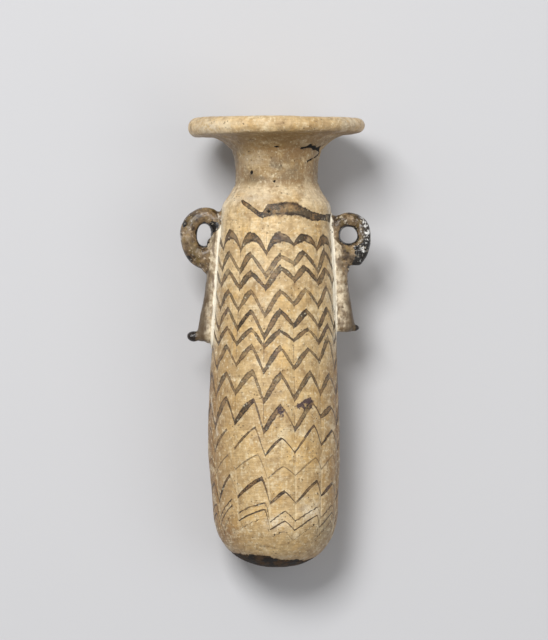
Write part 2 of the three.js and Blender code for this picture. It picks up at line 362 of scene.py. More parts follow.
def combed_row(peaks, valleys, width, falling, arched):
    """Height, width and own strength of one row at every place of the grid. Between two valleys the row
    climbs to its peak and falls again, each along one minus a power of the share left to the peak; across
    the steeper strokes its upright width grows so that its true width stays. The columns that the front
    does not show get the front's means, varied a little. Low down, the first column's falling strokes are
    worn away."""
    hidden = COMBED - FRONT_COLUMNS
    tops = np.concatenate([peaks, np.mean(peaks) + hand.uniform(-0.6, 0.6, hidden)])
    lows = np.mean(valleys) + hand.uniform(-0.8, 0.8, COMBED)
    lows[1:FRONT_COLUMNS] = valleys
    level = np.clip((np.mean(peaks) - LOW_ROWS) / (HIGH_ROWS - LOW_ROWS), 0, 1)
    peak_at = (low_peaks + (high_peaks - low_peaks) * level)[column]
    rising = share < peak_at
    way = np.where(rising, share / peak_at, (1 - share) / (1 - peak_at))
    start = np.where(rising, lows[column], lows[(column + 1) % COMBED])
    power = ARCH_POWER if arched else STROKE_POWER
    line = start + (tops[column] - start) * (1 - (1 - way) ** power)
    run = np.where(rising, peak_at, 1 - peak_at) * 2 * math.pi * WAIST_RADIUS / COMBED
    steep = np.sqrt(1 + ((tops[column] - start) / run) ** 2)
    swell = 0.6 + 0.45 * np.sin(math.pi * np.clip(way, 0.08, 0.85))
    if arched:
        steep = np.sqrt(steep)
        swell = 0.45 + 0.6 * (1 - (1 - way) ** 2)
    true_width = width * np.where(rising, RISING_WIDER, falling) * swell
    own = np.where(rising, hand.uniform(0.85, 1, COMBED)[column], hand.uniform(0.7, 1, COMBED)[column])
    if np.mean(peaks) < WORN_BELOW:
        own = np.where(rising | (column > 0), own, WORN_LEFT * own)
    return line, true_width * steep, own


turned = np.degrees(base)
turned = np.where(turned < TURN_ANGLES[0], turned + 360, turned)
turn_width = np.interp(turned, TURN_ANGLES, TURN_WIDTHS)
turn_height = np.interp(turned, TURN_ANGLES, TURN_HEIGHTS)
rows = [(turn_height, turn_width, 1 - 0.12 * smooth(turn_width, 1.5, 3.0))]
for number, (peaks, valleys, width, falling, fullness) in enumerate(THREADS):
    line, true_width, own = combed_row(peaks, valleys, width, falling, number < ARCHED_ROWS)
    rows.append((line, true_width, own * fullness))
# A row with no width above all the others and one below them close the series
lines = np.array([rows[0][0] + 14, *[row[0] for row in rows], rows[-1][0] - 30])
widths = np.array([0 * base, *[row[1] for row in rows], 0 * base])
strengths = np.array([0 * base, *[row[2] for row in rows], 0 * base])
above = np.sum(lines[1:-1] > height, 0)
over = np.take_along_axis(lines, above[None], 0)[0]
under = np.take_along_axis(lines, above[None] + 1, 0)[0]
thread_row = above + (over - height) / (over - under)
nearest = np.rint(thread_row).astype(int)[None]
valley = np.minimum(share, 1 - share) * 2 * math.pi / COMBED * radius

tangent = np.gradient(outline, axis=0)
tangent /= np.linalg.norm(tangent, axis=1)[:, None]
round_form = np.stack([radius * np.sin(angle), height, radius * np.cos(angle)], -1)
outward = np.stack([
    tangent[:, 1:] * np.sin(angle),
    np.broadcast_to(-tangent[:, :1], angle.shape),
    tangent[:, 1:] * np.cos(angle),
], -1)

# Relief and wear: 1 outside and on the rim's top, fading to 0 in the mouth
FURROW_DEPTH, FURROW_REACH = 0.2, 0.9
UPPER_FOLD, LOWER_FOLD = 120.0, 110.6
bore_from = len(outer) + RIM_STEPS + RIM_TOP_STEPS
outside = smooth(np.arange(len(outline))[:, None] + 0 * angle, bore_from, bore_from - 6)
on_body = smooth(height, 3, 14) * (1 - smooth(height, BODY_LENGTH - 4, BODY_LENGTH + 4))
furrows = -FURROW_DEPTH * np.exp(-((valley / FURROW_REACH) ** 2)) * on_body
swells = 0.16 * lumps(round_form, 11, 1) + 0.08 * lumps(round_form, 4, 2)
folds = -0.22 * np.exp(-(((height - UPPER_FOLD - 0.5 * np.sin(2 * angle)) / 0.7) ** 2))
folds += -0.25 * np.exp(-(((height - LOWER_FOLD + 0.4 * np.sin(3 * angle)) / 0.8) ** 2))
fine = 0.05 * lumps(round_form, 1.3, 3) + 0.025 * lumps(round_form, 0.8, 4)


def patch(degrees, stands_at, across, tall):
    """Soft spot on the flask's skin, 1 in its middle, with its reach round the flask and up it in mm."""
    away = np.angle(np.exp(1j * (angle - math.radians(degrees)))) * radius
    return np.exp(-((away / across) ** 2) - ((height - stands_at) / tall) ** 2) * outside


def streak(stations, width):
    """Line through stations of degrees and height on the flask's skin: 1 on it, and beside it a bell
    curve of the distance from it over its width."""
    away = np.full(angle.shape, np.inf)
    for (degrees, stand), (next_degrees, next_stand) in zip(stations, stations[1:]):
        across = np.angle(np.exp(1j * (angle - math.radians(degrees)))) * radius
        run, rise = math.radians(next_degrees - degrees) * radius, next_stand - stand
        t = np.clip((across * run + (height - stand) * rise) / (run**2 + rise**2), 0, 1)
        away = np.minimum(away, np.hypot(across - t * run, height - stand - t * rise))
    return np.exp(-((away / width) ** 2)) * outside


# Burst bubbles on neck and shoulder, the crack under the rim's right, and two chips low on the front
holes = patch(-37.8, 113.5, 0.6, 0.6) + 0.8 * patch(-3, 110.9, 0.5, 0.5) + patch(-8, 102.1, 0.45, 0.45)
holes += patch(1, 120.4, 0.9, 0.3)
crack = ((33, 120.0), (41, 120.4), (50, 120.5), (59, 120.1), (70, 119.9), (77, 119.0), (66, 117.9),
         (56, 117.2), (48, 116.6))
holes += 0.8 * streak(crack, 0.32) + 0.9 * patch(45, 121.0, 0.8, 0.5) + 0.9 * patch(55, 120.3, 1.0, 0.7)
holes += 0.9 * patch(68, 120.2, 1.3, 0.8)
holes += 0.5 * patch(31, 45.8, 1.0, 0.7) + 0.45 * patch(7, 45.2, 0.6, 0.6)
pits = np.random.default_rng(21)
pit_count = 150
pit_angles = pits.uniform(-math.pi, math.pi, pit_count)
pit_heights = pits.uniform(4, RIM_UNDERSIDE, pit_count)
pit_radii = np.interp(pit_heights, outer[:, 1], outer[:, 0])
pit_spots = np.stack([pit_radii * np.sin(pit_angles), pit_heights, pit_radii * np.cos(pit_angles)], 1)
pit_sizes = pits.uniform(0.5, 1.5, pit_count)
pit_depths = pits.uniform(0.08, 0.4, pit_count) ** 1.3
dents = pitted(round_form, pit_spots, pit_sizes, pit_depths)
dents -= 0.35 * np.minimum(holes, 1)
relief = (furrows + swells + folds + fine + dents - 0.02) * outside
points, faces = grid_mesh(lean(round_form + outward * relief[..., None]), False)
flask = new_piece("flask", laid_down(points), faces)

# Pale crust along the handles and in patches, grey-green stains, and tan where the glass darkened: round
# the folds of the neck and in patches. Down both sides of the lower body the tan is partly stain and
# partly painted shade, darker further round from the front
by_handles = np.exp(-(((np.abs(np.degrees(angle)) - 78) / 10) ** 2)) * smooth(height, 58, 68)
by_handles = by_handles * (1 - smooth(height, 103, 107))
crust = 0.6 * patch(2, 13, 3.5, 2) + 0.6 * patch(35, 16.5, 3.5, 2.5) + by_handles * 0.8
crust += 0.5 * patch(-48, 126.5, 8, 2) + 0.4 * patch(62, 127.5, 7, 1.5) + 0.4 * patch(-30, 106, 6, 1.5)
crust += streak(((-75, 49), (-68, 43.6), (-58, 38.2)), 0.4)
stain = patch(58, 12, 7, 6) + 0.5 * patch(82, 30, 5, 10) + 0.5 * patch(150, 60, 9, 14)
tan = patch(-52, 10, 5, 3) + 0.8 * patch(-62, 74, 5, 9)
tan += 0.7 * patch(-78, 45, 5, 15) + 0.8 * patch(85, 45, 5, 15)
tan += 0.6 * patch(-160, 30, 9, 9) + 0.5 * patch(120, 85, 8, 6) + 0.7 * patch(48, 126, 14, 2)
for stand, tall, share, part_round in (
    (119.9, 0.7, 0.8, smooth(np.sin(2 * angle + 1.2), -0.4, 0.6)),
    (110.8, 0.4, 0.7, smooth(np.sin(3 * angle + 0.6), -0.2, 0.8)),
    (124.5, 0.5, 0.6, smooth(np.cos(2 * angle), 0.9, -0.4)),
):
    tan += share * np.exp(-(((height - stand) / tall) ** 2)) * part_round * outside
tan += 0.5 * patch(-72, 22, 6, 12) + 0.5 * patch(72, 26, 6, 12) + 0.5 * patch(-5, 122.5, 14, 1.5)
# Painted shade: the lower body darkens toward its sides and over its back, by its angle from the front
limb = np.abs(np.degrees(angle))
tan += (0.75 * smooth(limb, 22, 60) + 0.7 * smooth(limb, 58, 80)) * smooth(height, 70, 50) * outside
tan += 0.9 * patch(25, 118.2, 5, 1.5) + 0.5 * patch(55, 114.5, 4, 4)
crust += 0.3 * patch(-35, 117, 4, 2.5)
# Violet spilt beside the threads on the lower front, and the burnt bottom's upper edge all round
violet = patch(27, 46.6, 3.2, 1.4) + patch(33, 48, 1.8, 0.9) + patch(6, 45.2, 1.4, 1.4)
base_angles = (-180, -120, -90, -35, -15, -5, 9, 53, 76, 120, 180)
base_heights = (3.6, 4.6, 4.4, 3.9, 3.7, 3.2, 2.6, 2.4, 2.9, 3.2, 3.6)
burnt = np.interp(np.degrees(angle), base_angles, base_heights) - height

kept_values = {
    "thread_row": thread_row,
    "thread_spacing": over - under,
    "thread_width": np.take_along_axis(widths, nearest, 0)[0] * outside,
    "thread_strength": np.take_along_axis(strengths, nearest, 0)[0] * outside,
    "valley": valley,
    "up": height,
    "inside": 1 - outside,
    "crust": crust * outside,
    "stain": stain,
    "tan": tan,
    "hole": holes,
    "violet": violet,
    "burnt": np.where(outside > 0, burnt, -10),
}
for name, values in kept_values.items():
    store(flask, name, np.concatenate([values.ravel(), [values[0, 0], values[-1, 0]]]))


def tint(red, green, blue):
    """A display colour from 0 to 255 as the linear colour that shaders use."""
    shares = np.array([red, green, blue]) / 255
    linear = np.where(shares <= 0.04045, shares / 12.92, ((shares + 0.055) / 1.055) ** 2.4)
    return (*linear.tolist(), 1.0)


def add(tree, kind, inputs=None, **settings):
    """A new node with its settings, and its inputs linked to sockets or set to values."""
    node = tree.nodes.new(kind)
    for key, value in settings.items():
        setattr(node, key, value)
    for key, value in (inputs or {}).items():
        if isinstance(value, bpy.types.NodeSocket):
            tree.links.new(value, node.inputs[key])
        else:
            node.inputs[key].default_value = value
    return node


def calc(tree, operation, first, second=0.0, third=0.0):
    """One step of arithmetic on sockets or numbers."""
    inputs = {0: first, 1: second, 2: third}
    return add(tree, "ShaderNodeMath", inputs, operation=operation).outputs[0]


def ease(tree, value, low, high, start=0.0, end=1.0):
    """Smoothstep from start to end as the value goes from low to high."""
    inputs = {"Value": value, "From Min": low, "From Max": high, "To Min": start, "To Max": end}
    return add(tree, "ShaderNodeMapRange", inputs, interpolation_type="SMOOTHSTEP").outputs["Result"]


def mixed(tree, factor, first, second):
    """Two colours mixed by a factor. Sockets 0, 6 and 7 of the node are the factor and the colours."""
    return add(tree, "ShaderNodeMix", {0: factor, 6: first, 7: second}, data_type="RGBA").outputs[2]


def laid_over(tree, ground, mask, colour, share=1.0):
    """A colour laid over the ground where the mask is, by a share."""
    return mixed(tree, mask if share == 1.0 else calc(tree, "MULTIPLY", mask, share), ground, colour)


def kept(tree, name):
    """A number that the mesh keeps for each vertex."""
    return add(tree, "ShaderNodeAttribute", attribute_name=name).outputs["Fac"]


def noise(tree, vector, size, detail=3.0, roughness=0.55):
    """Noise from about 0.25 to 0.75, with features of the given size in millimetres."""
    inputs = {"Vector": vector, "Scale": 1000 / size, "Detail": detail, "Roughness": roughness}
    return add(tree, "ShaderNodeTexNoise", inputs).outputs["Fac"]


def from_crumbs(tree, vector, size):
    """Distance from the nearest of many scattered spots, about a size in millimetres apart."""
    inputs = {"Vector": vector, "Scale": 1000 / size}
    return add(tree, "ShaderNodeTexVoronoi", inputs).outputs["Distance"]


def weathering_group():
    """What burial does to glass, for both kinds here: cloudy patches, mottling, pale flecks of crust and
    dark pinholes, and the height of all but the clouds, with a fine grain."""
    group = bpy.data.node_groups.new("Weathering", "ShaderNodeTree")
    face = group.interface
    face.new_socket("Vector", in_out="INPUT", socket_type="NodeSocketVector")
    for name in ("Clouds", "Mottle", "Flecks", "Pinholes", "Height"):
        face.new_socket(name, in_out="OUTPUT", socket_type="NodeSocketFloat")
    start = add(group, "NodeGroupInput")
    end = add(group, "NodeGroupOutput")
    vector = start.outputs["Vector"]
    clouds = ease(group, noise(group, vector, 9, 3), 0.3, 0.7)
    mottle = ease(group, noise(group, vector, 1.7, 4, 0.65), 0.3, 0.7)
    grain = noise(group, vector, 0.35, 3, 0.7)
    ragged = calc(group, "MULTIPLY_ADD", grain, 0.35, from_crumbs(group, vector, 1.5))
    some = ease(group, noise(group, vector, 2.6, 2), 0.52, 0.6)
    flecks = calc(group, "MULTIPLY", ease(group, ragged, 0.45, 0.3), some)
    few = ease(group, noise(group, vector, 3.3, 2), 0.5, 0.62)
    pinholes = calc(group, "MULTIPLY", ease(group, from_crumbs(group, vector, 1.1), 0.26, 0.12), few)
    height = calc(group, "MULTIPLY_ADD", mottle, 0.45, calc(group, "MULTIPLY", grain, 0.5))
    height = calc(group, "MULTIPLY_ADD", flecks, 0.4, height)
    height = calc(group, "MULTIPLY_ADD", pinholes, -0.9, height)
    for socket, result in zip(end.inputs, (clouds, mottle, flecks, pinholes, height)):
        group.links.new(result, socket)
    return group


weathering = weathering_group()


def stretched(tree, vector, across, along):
    """The coordinates squeezed, so that noise read with them runs in streaks."""
    inputs = {0: vector, 1: (across, along, across)}
    return add(tree, "ShaderNodeVectorMath", inputs, operation="MULTIPLY").outputs[0]


def weathered(name):
    """A new material, its node tree, the coordinates, and what burial does to the glass there."""
    material = bpy.data.materials.new(name)
    material.use_nodes = True
    tree = material.node_tree
    spot = add(tree, "ShaderNodeTexCoord").outputs["Object"]
    worn = add(tree, "ShaderNodeGroup", {"Vector": spot}, node_tree=weathering).outputs
    return material, tree, spot, worn


def finished(tree, colour, rough, height, deep):
    """Gives the glass its colour, its roughness and its bump, by a height and a depth in metres."""
    shader = tree.nodes["Principled BSDF"]
    bump = add(tree, "ShaderNodeBump", {"Strength": 0.8, "Distance": deep, "Height": height})
    tree.links.new(colour, shader.inputs["Base Color"])
    tree.links.new(rough, shader.inputs["Roughness"])
    tree.links.new(bump.outputs["Normal"], shader.inputs["Normal"])
    shader.inputs["IOR"].default_value = 1.5


def cream_glass():
    """Cream glass, warm at the rim and tan lower down, with the combed threads pressed into it: each is
    mottled brown between two darker edges, and breaks up where it is worn. A painted highlight brightens
    the shoulder, and painted shade darkens the flare under the rim, part of the neck's darker tint, and
    the lower body toward its sides. Fine lines run round it from the winding and along it from the comb;
    the bottom has a burnt, near-black patch."""
    material, tree, spot, worn = weathered("cream_glass")
    up = kept(tree, "up")

    ground = mixed(tree, ease(tree, up, 92, 52), tint(238, 208, 156), tint(222, 191, 136))
    # Painted highlight: a bright band round the shoulder
    shoulder_highlight = calc(tree, "MULTIPLY", ease(tree, up, 102, 107), ease(tree, up, 112, 108))
    ground = laid_over(tree, ground, shoulder_highlight, tint(254, 234, 196))
    # Painted shade under the rim: the neck's dark tint is partly its own greyer glass and partly painted
    # shade, and the flare's dark underside is painted shade
    on_neck = calc(tree, "MULTIPLY", ease(tree, up, 108, 111.5), ease(tree, up, 125, 124))
    ground = laid_over(tree, ground, on_neck, tint(118, 103, 78))
    flare_underside_shade = calc(tree, "MULTIPLY", ease(tree, up, 117.5, 121), ease(tree, up, 125, 124.3))
    ground = laid_over(tree, ground, flare_underside_shade, tint(128, 104, 66))
    plain = calc(tree, "MULTIPLY_ADD", on_neck, -0.4, 1.0)
    warm = calc(tree, "MULTIPLY", ease(tree, noise(tree, spot, 8, 2), 0.5, 0.62), plain)
    ground = laid_over(tree, ground, warm, tint(232, 188, 112), 0.5)
    ground = laid_over(tree, ground, worn["Clouds"], tint(172, 140, 96), 0.5)
    # Tan stains, with painted shade down the lower body's sides
    ground = laid_over(tree, ground, kept(tree, "tan"), tint(150, 112, 66), 0.6)
    ground = laid_over(tree, ground, kept(tree, "stain"), tint(150, 142, 118), 0.6)
    blotch = ease(tree, noise(tree, spot, 2.8, 4, 0.6), 0.5, 0.68)
    blotch = calc(tree, "MULTIPLY", blotch, plain)
    ground = laid_over(tree, ground, blotch, tint(142, 108, 64), 0.62)
    pale = ease(tree, noise(tree, spot, 3.6, 4, 0.65), 0.52, 0.66)
    pale = calc(tree, "MULTIPLY", pale, plain)
    ground = laid_over(tree, ground, pale, tint(240, 222, 184), 0.55)
    winding = ease(tree, noise(tree, stretched(tree, spot, 1.0, 9.0), 5, 4, 0.6), 0.42, 0.6)
    ground = laid_over(tree, ground, winding, tint(150, 120, 78), 0.22)
    dragging = ease(tree, noise(tree, stretched(tree, spot, 8.0, 1.0), 5, 3, 0.6), 0.56, 0.66)
    dragging = calc(tree, "MULTIPLY", dragging, calc(tree, "MULTIPLY", plain, 0.3))
    ground = laid_over(tree, ground, dragging, tint(240, 226, 188))
    ground = laid_over(tree, ground, worn["Mottle"], tint(132, 103, 64), 0.46)
    spotting = ease(tree, noise(tree, spot, 1.1, 4, 0.65), 0.54, 0.68)
    spotting = calc(tree, "MULTIPLY", spotting, calc(tree, "MULTIPLY", plain, 0.45))
    ground = laid_over(tree, ground, spotting, tint(244, 228, 190))
    flaking = ease(tree, noise(tree, spot, 1.6, 4, 0.7), 0.35, 0.55)
    flaking = calc(tree, "MULTIPLY", kept(tree, "crust"), flaking)
    ground = laid_over(tree, ground, flaking, tint(240, 230, 208), 0.85)
    low_down = ease(tree, up, 36, 24)
    furrow = calc(tree, "MULTIPLY", ease(tree, kept(tree, "valley"), 0.45, 0.1), low_down)
    furrow = calc(tree, "MULTIPLY", furrow, ease(tree, up, 8, 14))
    ground = laid_over(tree, ground, furrow, tint(236, 214, 172), 0.35)

    row = kept(tree, "thread_row")
    nearest = calc(tree, "ROUND", row)
    off = calc(tree, "MULTIPLY", calc(tree, "SUBTRACT", row, nearest), kept(tree, "thread_spacing"))
    half = calc(tree, "MULTIPLY", kept(tree, "thread_width"), 0.5)
    ragged = calc(tree, "MULTIPLY_ADD", noise(tree, spot, 0.8, 3, 0.7), 2.0, -1.0)
    off = calc(tree, "MULTIPLY_ADD", ragged, calc(tree, "MULTIPLY_ADD", half, 0.35, 0.06), off)
    swelling = calc(tree, "MULTIPLY_ADD", noise(tree, spot, 5, 2), 1.2, 0.4)
    half = calc(tree, "MULTIPLY", half, swelling)
    share = calc(tree, "DIVIDE", calc(tree, "ABSOLUTE", off), calc(tree, "MAXIMUM", half, 0.03))
    inside_thread = ease(tree, share, 1.2, 0.85)
    at_edge = calc(tree, "MULTIPLY", inside_thread, ease(tree, share, 0.45, 0.85, 0.1, 1.0))
    thin = ease(tree, half, 0.45, 0.2)
    at_edge = calc(tree, "MAXIMUM", at_edge, calc(tree, "MULTIPLY", inside_thread, thin))
    lasting = ease(tree, noise(tree, spot, 3.5, 4, 0.6), 0.3, 0.48, 0.55, 1.0)
    strength = calc(tree, "MULTIPLY", kept(tree, "thread_strength"), lasting)
    speckle = calc(tree, "ADD", noise(tree, spot, 0.5, 3, 0.7), noise(tree, spot, 2.6, 3))
    thread = mixed(tree, ease(tree, speckle, 0.88, 1.08), tint(120, 90, 54), tint(36, 22, 7))
    violet = ease(tree, noise(tree, spot, 6, 2), 0.58, 0.66, 0.0, 0.5)
    torn = calc(tree, "MULTIPLY_ADD", noise(tree, spot, 1.3, 4, 0.75), 3.6, -1.9)
    spilt = ease(tree, calc(tree, "ADD", kept(tree, "violet"), torn), 0.5, 0.7)
    thread = laid_over(tree, thread, calc(tree, "MAXIMUM", violet, spilt), tint(54, 34, 48))
    fill = calc(tree, "MULTIPLY", inside_thread, strength)
    fill = calc(tree, "MAXIMUM", fill, calc(tree, "MULTIPLY", spilt, 0.92))
    colour = mixed(tree, fill, ground, thread)
    unbroken = ease(tree, noise(tree, spot, 1.5, 3, 0.6), 0.4, 0.54, 0.45, 1.0)
    edge = calc(tree, "MULTIPLY", calc(tree, "MULTIPLY", at_edge, unbroken), strength)
    colour = laid_over(tree, colour, edge, tint(38, 22, 6))
    scratch = calc(tree, "MULTIPLY", ease(tree, kept(tree, "valley"), 0.2, 0.06), ease(tree, up, 24, 36))
    scratch = calc(tree, "MULTIPLY", scratch, ease(tree, noise(tree, spot, 4, 3), 0.45, 0.6))
    scratch = calc(tree, "MULTIPLY", scratch, ease(tree, up, 100, 92))
    colour = laid_over(tree, colour, scratch, tint(92, 66, 40), 0.55)

    colour = laid_over(tree, colour, worn["Flecks"], tint(244, 232, 200), 0.4)
    colour = laid_over(tree, colour, worn["Pinholes"], tint(66, 50, 34), 0.6)
    torn = calc(tree, "MULTIPLY_ADD", noise(tree, spot, 1.1, 4, 0.75), 1.5, -0.75)
    pit = ease(tree, calc(tree, "ADD", kept(tree, "hole"), torn), 0.4, 0.6)
    colour = laid_over(tree, colour, pit, tint(20, 15, 10))
    torn = calc(tree, "MULTIPLY_ADD", noise(tree, spot, 2.2, 4, 0.7), 2.4, -1.2)
    burnt = calc(tree, "ADD", kept(tree, "burnt"), torn)
    charring = ease(tree, noise(tree, spot, 2.6, 4, 0.65), 0.42, 0.62)
    char = mixed(tree, charring, tint(22, 13, 3), tint(72, 48, 16))
    colour = laid_over(tree, colour, ease(tree, burnt, -1.6, 0.2, 0.0, 0.35), tint(120, 84, 46))
    colour = mixed(tree, ease(tree, burnt, -0.15, 0.15), colour, char)
    lees = mixed(tree, worn["Clouds"], tint(146, 122, 88), tint(98, 78, 54))
    colour = mixed(tree, kept(tree, "inside"), colour, lees)

    rough = calc(tree, "MULTIPLY_ADD", worn["Mottle"], 0.2, 0.34)
    rough = calc(tree, "MULTIPLY_ADD", worn["Flecks"], 0.2, rough)
    rough = calc(tree, "MULTIPLY_ADD", pit, 0.5, rough)
    rough = calc(tree, "MULTIPLY_ADD", ease(tree, burnt, -0.2, 0.2), 0.45, rough)
    relief = calc(tree, "MULTIPLY_ADD", fill, -0.3, worn["Height"])
    relief = calc(tree, "MULTIPLY_ADD", winding, -0.25, relief)
    relief = calc(tree, "MULTIPLY_ADD", furrow, -0.5, relief)
    finished(tree, colour, rough, relief, 0.0002)
    return material


flask.data.materials.append(cream_glass())
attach(flask, "root")
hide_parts("vessel")


# Handles
# Each is one trail of brown glass, laid on hot: a pad on the shoulder, a ring, then a tail drawn down the
# side and nipped off in a small dark knob. The right ring is broken off flat at its foot. Pale crust
# covers the tails.

RING_DROP = 7.2
TRAIL_WIDTH = 6.4
WEB_PROUD = 2.1
WAIST_DROP = 12.5
TAIL_RISE = 1.2
TRAIL_SINK = 1.6
END_SHARE = 0.06
WELD_ABOVE, WELD_BELOW = 1.5, 2.6
WELD_REACH, WELD_SINK, WELD_THICK = 0.27, 0.5, 1.0
KNOB_STRETCH = 1.4
RING_HEIGHT = BODY_LENGTH - RING_DROP
ROUND_STEPS = 40
RING_STEPS, TAIL_STEPS, WELD_STEPS = 96, 90, 60
# Each side's own sizes, and its spots as x, height, depth and radius: blobs of melted glass, black
# places, and bald places in the crust
LEFT = {
    "reach": 27.6,
    "tall": 11.1,
    "thickness": 4.9,
    "foot": 6.6,
    "waist_proud": 2.7,
    "tail_proud": 4.4,
    "tail_drop": 30.6,
    "knob_radius": 1.5,
    "knob_reach": 2.8,
    "blobs": [(18.2, 93.2, 0, 1.7), (17.7, 95.7, 0.6, 1.1), (19.2, 86.2, 0, 1.9), (18.6, 66.4, 0, 2.0)],
    "black": [(-17.9, 98, 2.6, 1.2), (-26.3, 98.6, 1.5, 0.6), (-27.1, 94.5, 0.5, 0.6),
              (-24.4, 96.2, 1.6, 0.5), (-25.2, 88.9, 1.5, 0.6)],
    # Where the painted shade along the ring's outer edge begins
    "dark_from": (26.4, 28.5),
    "bald": [(-21.6, 84.6, 1.5, 1.2)],
    "crust_top": 88.5,
    "thin_crust": (98.0, 94.5),
    "edge_shade_from": 0.4,
}
RIGHT = {
    "reach": 27.5,
    "tall": 8.9,
    "thickness": 4.1,
    "foot": 7.9,
    "waist_proud": 3.8,
    "tail_proud": 5.3,
    "tail_drop": 27.8,
    "knob_radius": 1.0,
    "knob_reach": 1.4,
    "blobs": [(19.5, 87.6, 0, 2.3), (20.0, 85.5, 0, 1.3), (19.2, 69.4, 0, 1.8)],
    "black": [(25, 90.6, 1.5, 1.9), (26.6, 93, 1, 1.4), (23.6, 87.6, 1, 1.2)],
    "dark_from": (23.4, 25.8),
    "bald": [(20.9, 84.5, 1.5, 1.1), (21, 82.8, 1.5, 0.9), (20.8, 81, 1.5, 0.8)],
    "crust_top": 87.0,
    "thin_crust": (95.5, 92.0),
    "edge_shade_from": 1.7,
}
BREAK_DROP, BREAK_REACH = 8.7, 21.2
VOXEL = 0.22
COARSE_LUMP, COARSE_RISE = 2.6, 0.16
FINE_LUMP, FINE_RISE = 1.1, 0.06
SKIN_SUNK = 0.04
# The crust ends along a slope and is thinner beside the ring. Painted shade darkens its outer edge, the
# knob is bare, and painted shade blackens the ring round its hole
CRUST_SLOPE, CRUST_CLIFF = 0.9, 6
THIN_REACH, FULL_REACH = 0.1, 2.2
RING_FROM, RING_TO, EDGE_SHADE_BY_RING = 11, 7, 2.0
BALDNESS = 7
BARE_FROM, BARE_TO, BARE_UP = 0.3, 0.5, 4
HOLE_SHADE_FROM, HOLE_SHADE_TO, HOLE_SHADE = 1.4, 1.05, 0.3


def body_radius(height):
    """Radius of the body's outer surface at a height."""
    return np.interp(height, outer[:, 1], outer[:, 0])


def ring_middle(size):
    """Distance of the hole's middle from the flask's axis: halfway between web and ring."""
    return (body_radius(RING_HEIGHT) + WEB_PROUD + size["reach"] - size["thickness"]) / 2


def along_and_round(along, steps_round):
    """Grid of the places along a form and of the angles round it."""
    return np.meshgrid(along, np.linspace(0, 2 * math.pi, steps_round, False), indexing="ij")


def ring(size):
    """Torus stretched over an oval hole: its middle line is an ellipse, its section widens toward the
    body, and the lower part of its outer half is drawn down."""
    turn, section = along_and_round(np.linspace(0, 2 * math.pi, RING_STEPS, False), ROUND_STEPS)
    half = size["thickness"] / 2
    middle = ring_middle(size)
    across = size["reach"] - half - middle
    out, deep = np.cos(section), np.sin(section)
    at_foot = (out > 0) & (np.sin(turn) < 0)
    down = out * np.where(at_foot, size["foot"] - half, half)
    wide = (TRAIL_WIDTH + (size["thickness"] - TRAIL_WIDTH) * smooth(np.cos(turn), -1, 0.5)) / 2
    x = middle + (across + out * half) * np.cos(turn)
    y = RING_HEIGHT + (size["tall"] / 2 + down) * np.sin(turn)
    return np.stack([x, y, deep * wide], -1)


def tail(size):
    """Flattened bar down the body's side, an oval in section, proud of it by more toward its end, with
    ends that round off over a share of its length."""
    t, section = along_and_round(np.linspace(0, 1, TAIL_STEPS), ROUND_STEPS)
    top = RING_HEIGHT + size["tall"] / 2 + TAIL_RISE
    end = RING_HEIGHT - size["tail_drop"]
    waist = RING_HEIGHT - WAIST_DROP
    height = end + (top - end) * t
    above = size["waist_proud"] + (WEB_PROUD - size["waist_proud"]) * smooth(height, waist, RING_HEIGHT)
    proud = size["tail_proud"] + (above - size["tail_proud"]) * smooth(height, end, waist)
    blunt = np.sqrt(1 - (1 - np.minimum(1, np.minimum(t, 1 - t) / END_SHARE)) ** 2 / 2)
    thick = (proud + TRAIL_SINK) / 2 * blunt
    x = body_radius(height) + (proud - TRAIL_SINK) / 2 + np.cos(section) * thick
    return np.stack([x, height, -np.sin(section) * TRAIL_WIDTH / 2 * blunt], -1)


def weld(size):
    """Thin, wide strip under the tail, where it melted onto the body: an oval bent round the body, which
    tapers off only near its ends, as the root of 1 less the eighth power of the place along it."""
    t, section = along_and_round(np.linspace(0, 1, WELD_STEPS), ROUND_STEPS)
    top = RING_HEIGHT + size["tall"] / 2 + TAIL_RISE + WELD_ABOVE
    end = RING_HEIGHT - size["tail_drop"] - WELD_BELOW
    height = end + (top - end) * t
    taper = np.sqrt(np.clip(1 - (2 * t - 1) ** 8, 0.02, 1))
    around = np.sin(section) * WELD_REACH * taper
    from_axis = body_radius(height) - WELD_SINK + np.cos(section) * WELD_THICK * taper
    return np.stack([from_axis * np.cos(around), height, -from_axis * np.sin(around)], -1)


def blob(x, height, deep, radius, stretch=1.0, steps_up=16, steps_round=24):
    """Small ball of melted glass, by angles from its lower pole and round it, stretched outward."""
    rows, columns = along_and_round(np.linspace(0.05, math.pi - 0.05, steps_up), steps_round)
    outward = stretch * radius * np.sin(rows) * np.cos(columns)
    y = height - radius * np.cos(rows)
    return np.stack([x + outward, y, deep - radius * np.sin(rows) * np.sin(columns)], -1)


def knob(size):
    """The ball that ends the trail, longer outward than it is wide, beside the tail's end."""
    radius = size["knob_radius"]
    height = RING_HEIGHT - size["tail_drop"] + radius
    x = body_radius(height) + size["tail_proud"] + size["knob_reach"] - KNOB_STRETCH * radius
    return blob(x, height, 0, radius, KNOB_STRETCH, 20, 28)


